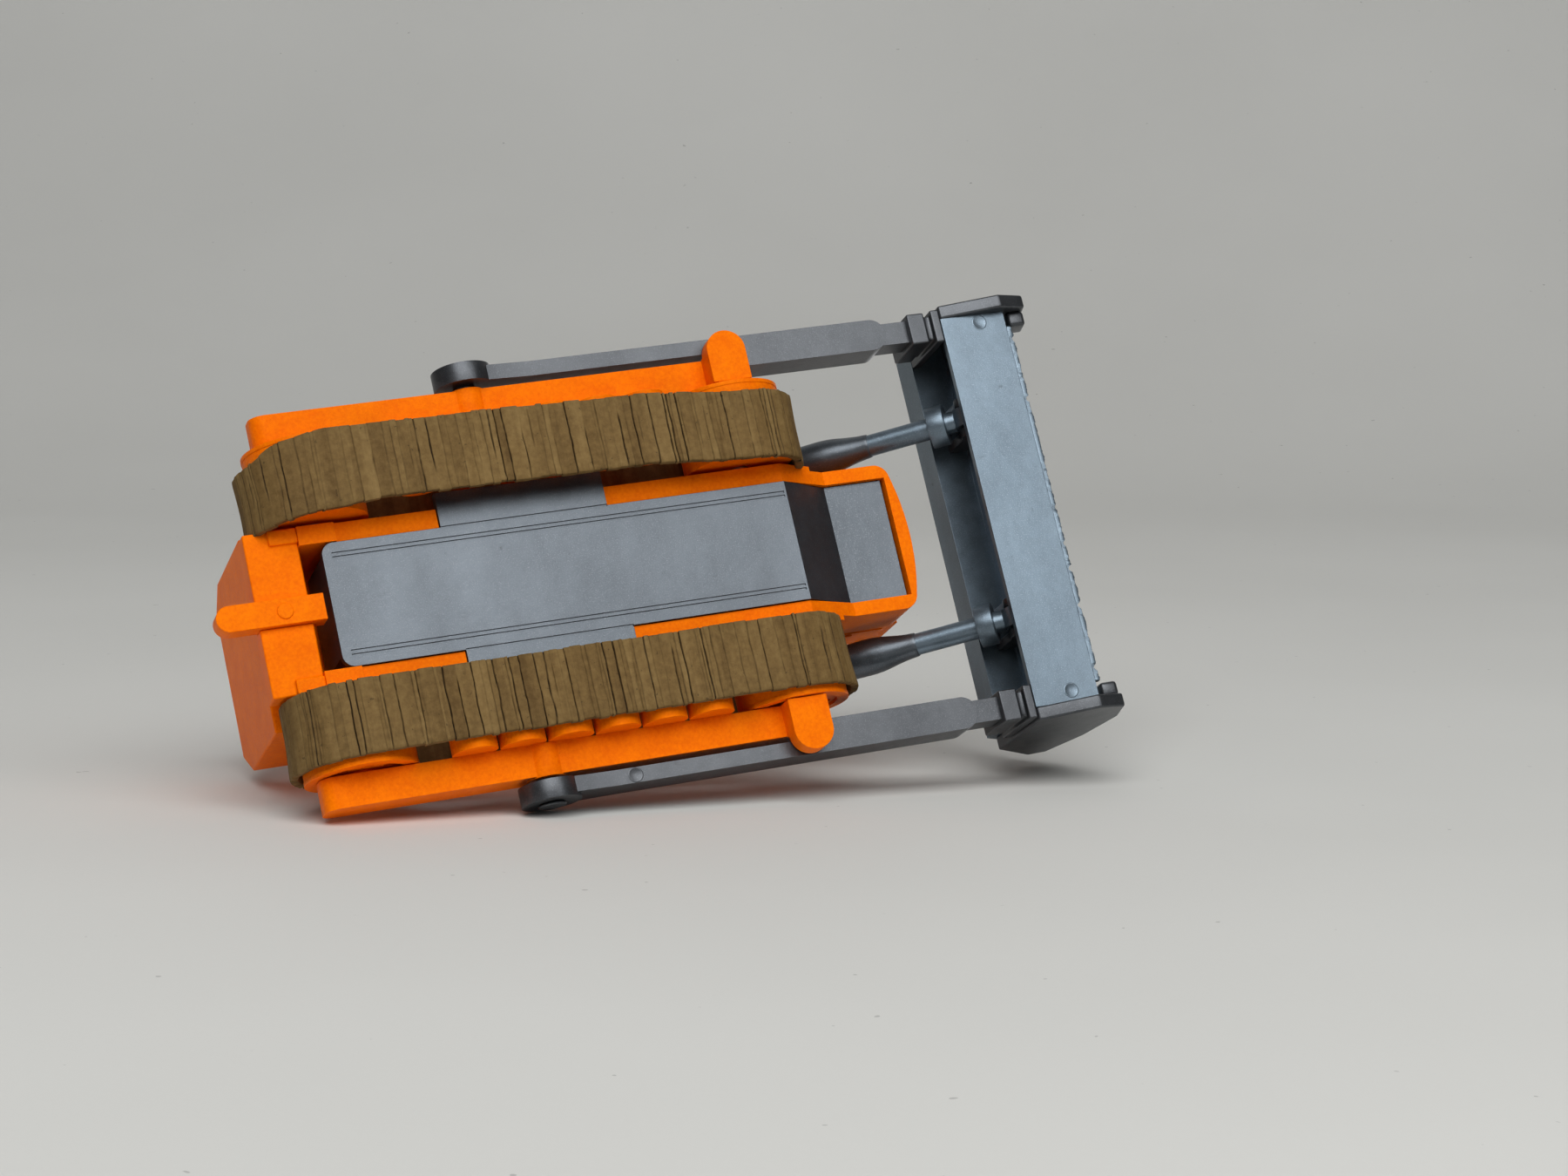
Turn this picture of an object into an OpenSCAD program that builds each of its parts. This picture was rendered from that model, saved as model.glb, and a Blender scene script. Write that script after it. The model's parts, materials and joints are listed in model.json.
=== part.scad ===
// Toy crawler bulldozer, about 1:87. X points forward, Y to its left, Z up.
// The origin is on the ground, below the middle of the model.

/* [Tracks] */
// Distance between the rear and the front wheel centres
wheel_base = 37; // [34:0.5:40]
// Outer radius of the belt where it goes round a wheel
belt_r = 5.6; // [5.2:0.1:6]
// Thickness of the belt
belt_t = 0.8; // [0.6:0.1:1]
// Width of the belt
belt_w = 6.1; // [5.4:0.1:6.1]
// Road rollers on each side
rollers = 6; // [4:1:7]

/* [Hull] */
// Half width of the hull between the tracks
hull_hw = 6.9; // [6.6:0.05:6.95]
// Half width of the nose in front of the tracks
nose_hw = 6.5; // [6.2:0.05:6.6]
// Height of the belly pan above the ground
belly_z = 3.65; // [3.4:0.05:3.9]
// Height of the raised nose above the ground
nose_z = 7.0; // [6.6:0.1:7.2]
// Height of the hood's top above the ground
hood_z = 20.2; // [19:0.1:21]

/* [Push frame] */
// Outer face of the push arms, from the middle plane
arm_out = 18.4; // [18.2:0.1:18.6]
// Height of a push arm's section
arm_h = 3.4; // [3:0.1:3.6]
// Half length of the blade, over its end plates
blade_hw = 18.8; // [18.7:0.1:19.4]
// Height of the blade's top above the ground
blade_top = 17.2; // [16:0.1:18]

/* [Lift cylinders] */
// Distance of a cylinder's axis from the middle plane
cyl_y = 9.1; // [9:0.1:9.3]
// Radius of the barrel
barrel_r = 1.45; // [1.35:0.05:1.5]
// Radius of the piston rod
rod_r = 0.95; // [0.85:0.05:0.95]

/* [Hidden] */
$fn = 64;

// Colours of the mouldings
orange_c = [1, 0.45, 0.03];
silver_c = [0.56, 0.59, 0.63];
rubber_c = [0.42, 0.34, 0.2];
steel_c = [0.7, 0.7, 0.72];
black_c = [0.12, 0.12, 0.12];

// Tracks: the wheels stand between the hull and the side beams
sprocket_x = -28.2;
idler_x = sprocket_x + wheel_base;
belt_in = 7.25;
belt_out = belt_in + belt_w;
wheel_gap = 0.15;
tread_r = belt_r - belt_t - wheel_gap;
flange_r = 4.7;
flange_in = belt_out + wheel_gap;
flange_out = flange_in + 0.35;
axle_r = 0.75;
// Room around a pin: in a hole that holds it, and in one that turns on it
snug = 0.02;
running = 0.05;
// How far a cutter reaches past the surface it opens
past = 1;
axle_in = 6.2;
axle_reach = 15.4;

// Side beams
beam_in = 13.95;
beam_out = 16.6;
beam_z0 = 3.4;
beam_z1 = 6.6;
beam_rear = -32.0;
beam_front = 10.3;
bracket_x0 = 6.9;
bracket_z0 = 1.3;
bracket_z1 = 3.0;
bracket_y = 16.7;
roller_x0 = -19.4;
roller_pitch = 4.03;
roller_r = 1.9;
roller_in = 8.5;
roller_z = belt_t + wheel_gap + roller_r;

// Hull, from rear to front
hull_rear = -30;
hull_wall = 1.2;
room_z = 11.7;
nose_bow = 22;
slope_x0 = 11.8;
slope_x1 = 16.6;
slope_end = slope_x1 - 1.4;
nose_x = 23.2;
deck_z = 12.5;
rim_z = belly_z + 0.25;
pan_hw = 5.24;
pan_t = 0.8;
pan_corner = 1;
line_w = 0.18;
line_deep = 0.12;
pan_rear = -28.3;
lip_t = 0.8;
lip_z = 11;
pan_front = 21.8;
pan_nose_z = nose_z + 0.5;
tab_x0 = -18.2;
tab_x1 = -3.9;
tab_y = 8.2;
wall_in = pan_hw + 0.06;

// Rear crossbar and hitch
bar_x0 = -34.4;
bar_x1 = hull_rear;
bar_z0 = 3.9;
bar_z1 = 6.4;
tongue_x0 = -37.8;
tongue_x1 = -28.9;
tongue_hw = 1.1;
tongue_z0 = 3.3;
tongue_t = 1.96;
key_x = -26.9;
key_z = 3.5;

// Tank and deck
tank_x0 = -33.6;
tank_x1 = -28.6;
tank_z0 = 9.8;
tank_z1 = 25.6;
tank_hw = 8.3;
tank_corner = [1.9, 3.2];
seat_gap_z = 17.2;
fender_y = 13;
plate_t = 0.8;

// Hood, and what stands on it and on the deck
hood_rear = -4;
hood_hw = nose_hw - 0.2;
hood_slope = 2.2;
louvres = 6;
louvre_pitch = 1.6;
bars = 9;
bar_pitch = 0.7;
exhaust_x = 11;
cleaner_at = [4.2, 2.2];
cap_at = [-31.3, -4];
lever_x = -10;

// Push frame, with its pivot at the eyes of the arms
pivot_x = -13.6;
pivot_z = 4.6;
eye_r = 2.5;
arm_pin_r = 0.9;
bump_r = 1.6;
arm_z0 = 3.25;
arm_slim = 1.3;
arm_wide = 2.75;
arm_step_x = 10.7;
arm_end_x = 22.5;
knuckle_x0 = 26;
flange_x0 = 28.2;
blade_x0 = 29;
blade_z0 = 2.9;
edge_t = 0.6;
edge_x = 34.9;
plate_in = blade_hw - 1.2;
bit_in = 16.3;
bit_x0 = 35.45;
bit_z0 = 3.3;
bit_z1 = 5.6;
mould_x = 43.2;
mould_z = 10.8;
mould_r = 11;
mould_t = 0.9;
rib_z0 = 9.7;
rib_z1 = 13.1;

// Lift cylinders: each runs from its pin on the hood side down to the blade
cyl_x = 12;
cyl_z = 15.9;
rod_x = 30.6;
rod_z = 5.2;
cyl_len = norm([rod_x - cyl_x, rod_z - cyl_z]);
cyl_tilt = atan2(cyl_z - rod_z, rod_x - cyl_x);
barrel_len = 12.2;
rod_start = 6.0;
bore_start = 2.2;
collar_at = 3.75;
collar_len = 1.5;
collar_r = 1.8;
eye_hw = 0.8;
lug_in = 0.95;
lug_out = 1.7;
rod_eye_r = 1.6;
lug_r = 1.25;
lug_x0 = rod_x - 0.9;
lug_x1 = rod_x + 0.65;
rod_pin_r = 0.6;
rod_slack = 0.4;
cyl_pin_r = 0.7;

// ---- helpers ----

// Draws the children, an outline in X and Z, between two places along Y
module across(y0, y1) {
    translate([0, y1, 0]) rotate([90, 0, 0]) linear_extrude(y1 - y0) children();
}

// A round disc or pin lying along Y
module disc(x, z, r, y0, y1) {
    translate([x, y1, z]) rotate([90, 0, 0]) cylinder(h = y1 - y0, r = r);
}

// A box given by its two opposite corners
module box(low, high) {
    translate(low) cube(high - low);
}

// Puts the children, drawn for the left, on the given side
module handed(side) {
    if (side > 0) children();
    else mirror([0, 1, 0]) children();
}

module both_sides() {
    for (side = [1, -1]) handed(side) children();
}

// The outline of a belt or of the room inside it, as two round ends and a bar
module loop(r) {
    for (x = [sprocket_x, idler_x]) translate([x, belt_r]) circle(r);
    translate([sprocket_x, belt_r - r]) square([wheel_base, 2 * r]);
}

// Moves the children, drawn along +X from the origin, onto a cylinder's axis
module on_cylinder() {
    translate([cyl_x, cyl_y, cyl_z]) rotate([0, cyl_tilt, 0]) children();
}

// ---- hull ----

module hull_tub() color(orange_c) difference() {
    union() {
        across(-hull_hw, hull_hw) polygon([[hull_rear, rim_z], [slope_x0, rim_z],
            [slope_end, nose_z - 0.9], [slope_end, deck_z], [hull_rear, deck_z]]);
        across(-nose_hw, nose_hw) polygon([[slope_end, nose_z - 0.9], [slope_x1, nose_z],
            [nose_x - 1, nose_z], [nose_x - 1, deck_z], [slope_end, deck_z]]);
        // the front of the nose is slightly bowed
        intersection() {
            box([nose_x - 1.05, -nose_hw, nose_z], [nose_x, nose_hw, deck_z]);
            translate([nose_x - nose_bow, 0, nose_z])
                cylinder(h = deck_z - nose_z, r = nose_bow, $fn = 160);
        }
        // small blocks that key the hull to the crossbar
        both_sides() box([hull_rear, wall_in, key_z], [key_x, hull_hw, rim_z + 1]);
    }
    // the room above the belly pan, open at the rear
    box([hull_rear + hull_wall, -wall_in, 0], [pan_front + 0.25, wall_in, room_z]);
    box([hull_rear - past, -wall_in, 0], [hull_rear + hull_wall + 0.1, wall_in, room_z]);
    // the openings for the pan's side tabs
    box([tab_x0 - 0.06, -hull_hw - 1, 0], [tab_x1 + 0.06, hull_hw + 1, belly_z + pan_t]);
    both_sides() for (x = [sprocket_x, idler_x])
        disc(x, belt_r, axle_r + snug, axle_in, hull_hw + 1);
}

module belly_pan() color(silver_c) difference() {
    union() {
        box([pan_rear + pan_corner, -pan_hw, belly_z], [slope_x0, pan_hw, belly_z + pan_t]);
        // the rear edge has rounded corners and an upright lip
        for (side = [1, -1])
            translate([pan_rear + pan_corner, side * (pan_hw - pan_corner), belly_z])
                cylinder(h = pan_t, r = pan_corner);
        box([pan_rear, pan_corner - pan_hw, belly_z],
            [pan_rear + pan_corner, pan_hw - pan_corner, belly_z + pan_t]);
        box([pan_rear, pan_corner - pan_hw, belly_z],
            [pan_rear + lip_t, pan_hw - pan_corner, lip_z]);
        // the step up into the nose
        across(-pan_hw, pan_hw) polygon([[slope_x0, belly_z], [slope_x1, pan_nose_z],
            [pan_front, pan_nose_z], [pan_front, pan_nose_z + pan_t],
            [slope_x1 - 0.4, pan_nose_z + pan_t], [slope_x0, belly_z + pan_t + 0.35]]);
        box([tab_x0, -tab_y, belly_z], [tab_x1, tab_y, belly_z + pan_t]);
    }
    // two shallow lines along each side, and the seam of each tab
    for (y = [3.95, 4.3], side = [1, -1])
        box([pan_rear + 0.8, side * y - line_w / 2, 0],
            [slope_x0 - 0.2, side * y + line_w / 2, belly_z + line_deep]);
    for (side = [1, -1])
        box([tab_x0, side * pan_hw - line_w / 2, 0],
            [tab_x1, side * pan_hw + line_w / 2, belly_z + line_deep]);
}

module rear_crossbar() color(orange_c) {
    difference() {
        box([bar_x0, -hull_hw, bar_z0], [bar_x1, hull_hw, bar_z1]);
        box([tongue_x0, -tongue_hw, 0], [bar_x1 + 1, tongue_hw, tongue_z0 + 2]);
    }
    // small blocks that key the bar to the hull
    both_sides() {
        box([bar_x0 + 2, hull_hw - 1.3, bar_z0 - 0.35], [bar_x1, hull_hw, bar_z0]);
        // the uprights that carry the tank
        box([bar_x0 + 1.3, 1.6, bar_z1], [bar_x1 - 0.4, hull_hw - 0.9, tank_z0]);
    }
}

module hitch_tongue() color(orange_c) {
    box([tongue_x0 + tongue_hw, -tongue_hw, tongue_z0],
        [tongue_x1, tongue_hw, tongue_z0 + tongue_t]);
    translate([tongue_x0 + tongue_hw, 0, tongue_z0]) cylinder(h = tongue_t, r = tongue_hw);
    // a shallow round pad below the crossbar
    translate([(bar_x0 + bar_x1) / 2, 0, tongue_z0 - 0.12]) cylinder(h = 0.2, r = 0.65);
}

// ---- body above the hull ----

module engine_hood() color(orange_c) difference() {
    translate([hood_rear, 0, 0]) rotate([90, 0, 90]) linear_extrude(nose_x - 0.9 - hood_rear)
        polygon([[-hood_hw, deck_z], [hood_hw, deck_z], [hood_hw, hood_z - hood_slope],
            [hood_hw - 1.8, hood_z], [1.8 - hood_hw, hood_z], [-hood_hw, hood_z - hood_slope]]);
    box([hood_rear + hull_wall, hull_wall - hood_hw, deck_z - past],
        [nose_x - 2, hood_hw - hull_wall, hood_z - 3]);
    // the louvres on each side
    for (i = [0:louvres - 1], side = [1, -1])
        box([-1 + i * louvre_pitch, side * hood_hw - 0.2, deck_z + 1.4],
            [-0.3 + i * louvre_pitch, side * hood_hw + 0.2, deck_z + 4.6]);
    both_sides() disc(cyl_x, cyl_z, cyl_pin_r + snug, nose_hw - 2, nose_hw + past);
}

module radiator_grille() color(black_c) difference() {
    box([nose_x - 0.9, -4.9, deck_z + 0.2], [nose_x - 0.2, 4.9, hood_z - 0.9]);
    for (i = [0:bars - 1]) translate([0, 0, deck_z + 0.75 + i * bar_pitch])
        box([nose_x - 0.45, -4.4, 0], [nose_x, 4.4, 0.3]);
}

module exhaust_stack() color(silver_c) translate([exhaust_x, 0, hood_z]) difference() {
    union() {
        cylinder(h = 0.6, r = 1.5);
        cylinder(h = 4.2, r = 1.15);
        cylinder(h = 8.4, r = 0.65);
    }
    translate([0, 0, 6]) cylinder(h = 3, r = 0.42);
}

module air_cleaner() color(black_c) translate([cleaner_at.x, cleaner_at.y, hood_z]) {
    cylinder(h = 2.4, r = 0.9);
    translate([0, 0, 2.4]) cylinder(h = 1.5, r = 1.6);
    translate([0, 0, 3.9]) cylinder(h = 0.5, r = 1.1);
}

module operator_deck() color(orange_c) {
    box([hull_rear, -hull_hw, deck_z], [hood_rear, hull_hw, deck_z + plate_t]);
    both_sides() {
        box([-27, hull_hw, deck_z], [-5, fender_y, deck_z + plate_t]);
        box([-27, fender_y - 0.6, deck_z - 0.6], [-5, fender_y, deck_z]);
        // a box beside the seat
        box([-26, 6.2, deck_z + plate_t], [-15, 9.6, deck_z + 4.2]);
    }
}

module cowl() color(orange_c) across(-hood_hw, hood_hw)
    polygon([[hood_rear - 2.6, deck_z + plate_t], [hood_rear, deck_z + plate_t],
        [hood_rear, hood_z + 0.5], [hood_rear - 1.2, hood_z + 0.5], [hood_rear - 2.6, hood_z - 2.4]]);

module fuel_tank() color(orange_c) difference() {
    translate([tank_x0, 0, 0]) rotate([90, 0, 90]) linear_extrude(tank_x1 - tank_x0)
        polygon([[-tank_hw, tank_z0], [tank_hw, tank_z0], [tank_hw, tank_z1 - tank_corner.y],
            [tank_hw - tank_corner.x, tank_z1], [tank_corner.x - tank_hw, tank_z1],
            [-tank_hw, tank_z1 - tank_corner.y]]);
    // the lower front is cut back behind the deck, and the sides clear the belts
    box([tank_x1 - 1.6, -tank_hw - past, tank_z0 - past],
        [tank_x1 + past, tank_hw + past, seat_gap_z]);
    both_sides() across(belt_in - 0.2, tank_hw + past) loop(belt_r + 0.4);
}

module fuel_cap() color(black_c) {
    translate([cap_at.x, cap_at.y, tank_z1]) cylinder(h = 0.9, r = 1.2);
}

module operator_seat() color(black_c) {
    box([-26.4, -4.4, deck_z + plate_t], [-19.4, 4.4, deck_z + 3.8]);
    box([-27.2, -4.4, deck_z + 3.8], [-24.9, 4.4, tank_z1 - 2.4]);
    both_sides() box([-26, 4.4, deck_z + 4.4], [-20, 5.6, deck_z + 6.6]);
}

module control_levers() color(black_c) {
    for (y = [-2.6, -1.2, 2.2]) {
        translate([lever_x, y, deck_z + plate_t]) cylinder(h = 5.2, r = 0.32);
        translate([lever_x, y, deck_z + 6.4]) sphere(0.62, $fn = 32);
    }
}

// ---- tracks ----

module track_frame(side) color(orange_c) handed(side) difference() {
    union() {
        across(beam_in, beam_out) hull() {
            translate([beam_rear + 1.3, beam_z0 + 1.3]) circle(1.3);
            translate([beam_rear + 1.1, beam_z1 - 1.1]) circle(1.1);
            translate([beam_front - 1, beam_z0]) square([1, beam_z1 - beam_z0]);
        }
        // the bracket that reaches out below the push arm
        box([bracket_x0, beam_in, bracket_z0], [beam_front, bracket_y, beam_z0]);
        translate([(bracket_x0 + beam_front) / 2, bracket_y, bracket_z0])
            cylinder(h = bracket_z1 - bracket_z0, r = (beam_front - bracket_x0) / 2);
        // the bump around the push arm's pin
        disc(pivot_x, pivot_z, bump_r, beam_in, beam_out + 0.1);
    }
    for (x = [sprocket_x, idler_x]) disc(x, belt_r, axle_r + snug, 0, axle_reach);
    disc(pivot_x, pivot_z, arm_pin_r + snug, beam_in - past, beam_out + past);
}

module track_rollers(side) color(orange_c) handed(side) {
    for (i = [0:rollers - 1]) {
        x = roller_x0 + i * roller_pitch;
        disc(x, roller_z, roller_r, roller_in, beam_in);
        box([x - 0.5, belt_out, roller_z], [x + 0.5, beam_in, beam_z1 - 0.8]);
    }
}

module track_belt(side) color(rubber_c) handed(side) across(belt_in, belt_out) difference() {
    loop(belt_r);
    loop(belt_r - belt_t);
}

// Two short plain pins, one on each side, that carry a pair of wheels
module axle(x) color(steel_c) both_sides() disc(x, belt_r, axle_r, axle_in, axle_reach);

module wheel(x, holes) difference() {
    union() {
        disc(x, belt_r, tread_r, belt_in + 0.1, flange_in);
        disc(x, belt_r, flange_r, flange_in, flange_out);
    }
    disc(x, belt_r, axle_r + running, 0, 20);
    // the face is dished, with a ring of holes in it
    difference() {
        disc(x, belt_r, flange_r - 1, flange_out - 0.2, flange_out + 1);
        disc(x, belt_r, axle_r + 0.8, 0, 20);
    }
    for (i = [0:holes - 1]) translate([x, 0, belt_r]) rotate([0, i * 360 / holes, 0])
        translate([2.75, 0, 0]) disc(0, 0, 0.55, flange_out - 1.6, flange_out + 1);
}

module sprocket(side) color(orange_c) handed(side) wheel(sprocket_x, 8);

module idler(side) color(orange_c) handed(side) wheel(idler_x, 5);

// ---- push frame ----

module arm_pin(side) color(silver_c) handed(side) {
    disc(pivot_x, pivot_z, arm_pin_r, beam_in + 0.6, arm_out + 0.35);
    disc(pivot_x, pivot_z, arm_pin_r + 0.25, arm_out + 0.35, arm_out + 0.6);
}

module push_arm(side) color(silver_c) handed(side) difference() {
    union() {
        disc(pivot_x, pivot_z, eye_r, arm_out - arm_slim, arm_out + 0.3);
        across(arm_out - arm_slim, arm_out) polygon([[pivot_x, pivot_z - 1.9], [-8, arm_z0],
            [arm_step_x, arm_z0], [arm_step_x, arm_z0 + arm_h], [-8, arm_z0 + arm_h],
            [pivot_x, pivot_z + 2.3]]);
        box([arm_step_x, arm_out - arm_wide, arm_z0], [arm_end_x, arm_out, arm_z0 + arm_h]);
        translate([arm_end_x, arm_out - arm_wide / 2, arm_z0]) cylinder(h = arm_h, r = arm_wide / 2);
        box([arm_end_x, arm_out - arm_wide + 0.4, arm_z0 + 0.35],
            [knuckle_x0, arm_out - 0.4, arm_z0 + arm_h - 0.5]);
    }
    disc(pivot_x, pivot_z, arm_pin_r + running, 0, 30);
}

module arm_knuckle(side) color(silver_c) handed(side) {
    box([knuckle_x0, arm_out - arm_wide, blade_z0 + 0.1], [flange_x0 - 0.6, arm_out, rib_z0 - 1.6]);
    box([flange_x0 - 0.6, arm_out - arm_wide + 0.3, blade_z0 + 0.4],
        [flange_x0, arm_out - 0.3, rib_z0 - 1.9]);
    box([flange_x0, arm_out - arm_wide - 0.1, blade_z0], [blade_x0, arm_out + 0.1, rib_z0]);
}

// The blade's plate is hollow in front; behind it are the bottom and a rib
module blade_shell() color(silver_c) union() {
    across(-plate_in, plate_in) intersection() {
        difference() {
            translate([mould_x, mould_z]) circle(mould_r + mould_t, $fn = 128);
            translate([mould_x, mould_z]) circle(mould_r, $fn = 128);
        }
        translate([flange_x0, blade_z0 + edge_t]) square([8, blade_top - blade_z0 - edge_t]);
    }
    across(-plate_in, plate_in)
        translate([blade_x0, blade_z0]) square([edge_x - blade_x0, edge_t]);
    across(-plate_in, plate_in) difference() {
        polygon([[flange_x0, rib_z0], [flange_x0, rib_z1], [blade_x0 + 3.2, blade_top - 0.7],
            [edge_x - 1.5, blade_top - 0.7], [edge_x - 1.5, rib_z0]]);
        translate([mould_x, mould_z]) circle(mould_r + mould_t / 2, $fn = 128);
    }
}

module cutting_edge() color(silver_c)
    box([edge_x, -bit_in + 0.1, blade_z0], [edge_x + 0.5, bit_in - 0.1, blade_z0 + edge_t]);

module end_plate(side) color(silver_c) handed(side)
    across(plate_in, blade_hw) polygon([[blade_x0, blade_z0], [blade_x0, rib_z1],
        [blade_x0 + 4.4, blade_top + 0.5], [blade_x0 + 6.2, blade_top + 0.3], [37, rib_z1 - 0.5],
        [37.8, 6.5], [36.9, blade_z0 - 0.3], [34.3, blade_z0 - 1.3]]);

// A small wearing bit in the corner ahead of the cutting edge
module corner_bit(side) color(silver_c) handed(side) across(bit_in, plate_in)
    polygon([[bit_x0, bit_z0], [bit_x0 + 1.5, bit_z0], [bit_x0 + 2, bit_z1],
        [bit_x0 + 0.7, bit_z1], [bit_x0, bit_z0 + 1.1]]);

// A pair of lugs below the rib, for the end of a piston rod
module rod_lugs(side) color(silver_c) handed(side) difference() {
    for (y = [cyl_y - lug_out, cyl_y + lug_in]) {
        disc(rod_x, rod_z, lug_r, y, y + lug_out - lug_in);
        box([lug_x0, y, rod_z], [lug_x1, y + lug_out - lug_in, rib_z0]);
    }
    disc(rod_x, rod_z, rod_pin_r + snug, 0, 20);
}

module rod_pin(side) color(steel_c) handed(side)
    disc(rod_x, rod_z, rod_pin_r, cyl_y - lug_out - 0.1, cyl_y + lug_out + 0.1);

// ---- lift cylinders ----

module cylinder_pin(side) color(silver_c) handed(side) {
    disc(cyl_x, cyl_z, cyl_pin_r, nose_hw - 1.4, cyl_y + 1.75);
    disc(cyl_x, cyl_z, 1.2, cyl_y + 1.75, cyl_y + 2.15);
}

module lift_barrel(side) color(silver_c) handed(side) difference() {
    union() {
        disc(cyl_x, cyl_z, 1.9, cyl_y - 1.6, cyl_y + 1.6);
        on_cylinder() rotate([0, 90, 0]) {
            cylinder(h = barrel_len - 1.2, r = barrel_r);
            translate([0, 0, barrel_len - 1.2]) cylinder(h = 1.2, r = barrel_r - 0.2);
        }
    }
    on_cylinder() rotate([0, 90, 0]) translate([0, 0, bore_start])
        cylinder(h = 20, r = rod_r + running);
    disc(cyl_x, cyl_z, cyl_pin_r + running, 0, 20);
}

module lift_rod(side) color(silver_c) handed(side) difference() {
    union() {
        on_cylinder() rotate([0, 90, 0]) {
            translate([0, 0, rod_start]) cylinder(h = cyl_len - rod_start - 1.4, r = rod_r);
            translate([0, 0, cyl_len - collar_at]) cylinder(h = collar_len, r = collar_r);
        }
        disc(rod_x, rod_z, rod_eye_r, cyl_y - eye_hw, cyl_y + eye_hw);
    }
    disc(rod_x, rod_z, rod_pin_r + rod_slack, 0, 20);
}

hull_tub();
belly_pan();
rear_crossbar();
hitch_tongue();
engine_hood();
radiator_grille();
exhaust_stack();
air_cleaner();
operator_deck();
cowl();
fuel_tank();
fuel_cap();
operator_seat();
control_levers();
track_frame(1);  // track_frame_left
track_frame(-1);  // track_frame_right
track_rollers(1);  // track_rollers_left
track_rollers(-1);  // track_rollers_right
track_belt(1);  // track_belt_left
track_belt(-1);  // track_belt_right
axle(idler_x);  // front_axle
axle(sprocket_x);  // rear_axle
arm_pin(1);  // arm_pin_left
arm_pin(-1);  // arm_pin_right
cylinder_pin(1);  // cylinder_pin_left
cylinder_pin(-1);  // cylinder_pin_right
sprocket(1);  // sprocket_left
sprocket(-1);  // sprocket_right
idler(1);  // idler_left
idler(-1);  // idler_right
push_arm(1);  // push_arm_left
push_arm(-1);  // push_arm_right
arm_knuckle(1);  // arm_knuckle_left
arm_knuckle(-1);  // arm_knuckle_right
blade_shell();
cutting_edge();
end_plate(1);  // end_plate_left
end_plate(-1);  // end_plate_right
corner_bit(1);  // corner_bit_left
corner_bit(-1);  // corner_bit_right
rod_lugs(1);  // rod_lugs_left
rod_lugs(-1);  // rod_lugs_right
rod_pin(1);  // rod_pin_left
rod_pin(-1);  // rod_pin_right
lift_barrel(1);  // lift_barrel_left
lift_barrel(-1);  // lift_barrel_right
lift_rod(1);  // lift_rod_left
lift_rod(-1);  // lift_rod_right
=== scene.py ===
import json
import math
from random import Random

import bmesh
import bpy
from mathutils import Matrix, Vector, noise


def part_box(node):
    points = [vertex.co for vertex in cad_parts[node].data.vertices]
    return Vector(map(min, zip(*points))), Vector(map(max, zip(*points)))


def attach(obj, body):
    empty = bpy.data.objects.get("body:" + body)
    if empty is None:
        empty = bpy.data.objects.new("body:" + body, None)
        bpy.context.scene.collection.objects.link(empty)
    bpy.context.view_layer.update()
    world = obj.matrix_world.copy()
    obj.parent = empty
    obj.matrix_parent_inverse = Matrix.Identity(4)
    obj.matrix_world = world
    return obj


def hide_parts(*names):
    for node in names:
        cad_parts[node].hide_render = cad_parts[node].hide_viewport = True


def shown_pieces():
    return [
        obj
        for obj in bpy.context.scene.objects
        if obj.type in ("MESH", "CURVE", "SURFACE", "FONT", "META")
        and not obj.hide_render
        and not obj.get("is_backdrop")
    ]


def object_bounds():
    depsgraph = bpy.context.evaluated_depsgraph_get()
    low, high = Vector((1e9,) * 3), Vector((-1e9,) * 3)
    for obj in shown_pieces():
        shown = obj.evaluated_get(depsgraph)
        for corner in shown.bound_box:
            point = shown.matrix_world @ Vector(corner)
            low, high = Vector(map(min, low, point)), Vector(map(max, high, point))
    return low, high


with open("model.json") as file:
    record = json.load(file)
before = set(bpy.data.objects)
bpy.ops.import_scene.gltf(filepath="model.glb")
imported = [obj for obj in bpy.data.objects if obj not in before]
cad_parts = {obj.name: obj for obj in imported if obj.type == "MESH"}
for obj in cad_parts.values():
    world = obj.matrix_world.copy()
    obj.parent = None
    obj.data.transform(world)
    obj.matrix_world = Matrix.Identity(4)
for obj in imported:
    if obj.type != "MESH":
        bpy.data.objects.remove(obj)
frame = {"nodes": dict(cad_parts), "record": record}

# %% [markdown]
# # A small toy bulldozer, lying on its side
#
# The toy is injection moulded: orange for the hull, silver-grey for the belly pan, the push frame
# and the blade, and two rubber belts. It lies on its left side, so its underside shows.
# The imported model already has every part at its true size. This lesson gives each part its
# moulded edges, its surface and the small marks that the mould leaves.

MM = 0.001
cad_low, cad_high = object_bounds()
nodes = frame["nodes"]
body_of_node = {n: b for b, members in frame["record"]["behaviour"]["bodies"].items() for n in members}
slot_of_node = {s["node"]: s["material_slot"] for s in frame["record"]["subparts"]}
print(f"{len(nodes)} parts, {(cad_high - cad_low).x / MM:.1f} mm long")


def box_mm(node):
    """The lowest and highest corner of a part, in millimetres."""
    low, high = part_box(node)
    return low / MM, high / MM


# %% [markdown]
# ## Finishes
#
# A material is a small graph of nodes. Writing it as sums and products is easier to read than
# wiring it by hand, so one class wraps a socket and turns `1 - mask` into a Math node.
# Patterns read Object coordinates, here in millimetres, so a grain has its real size.

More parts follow.
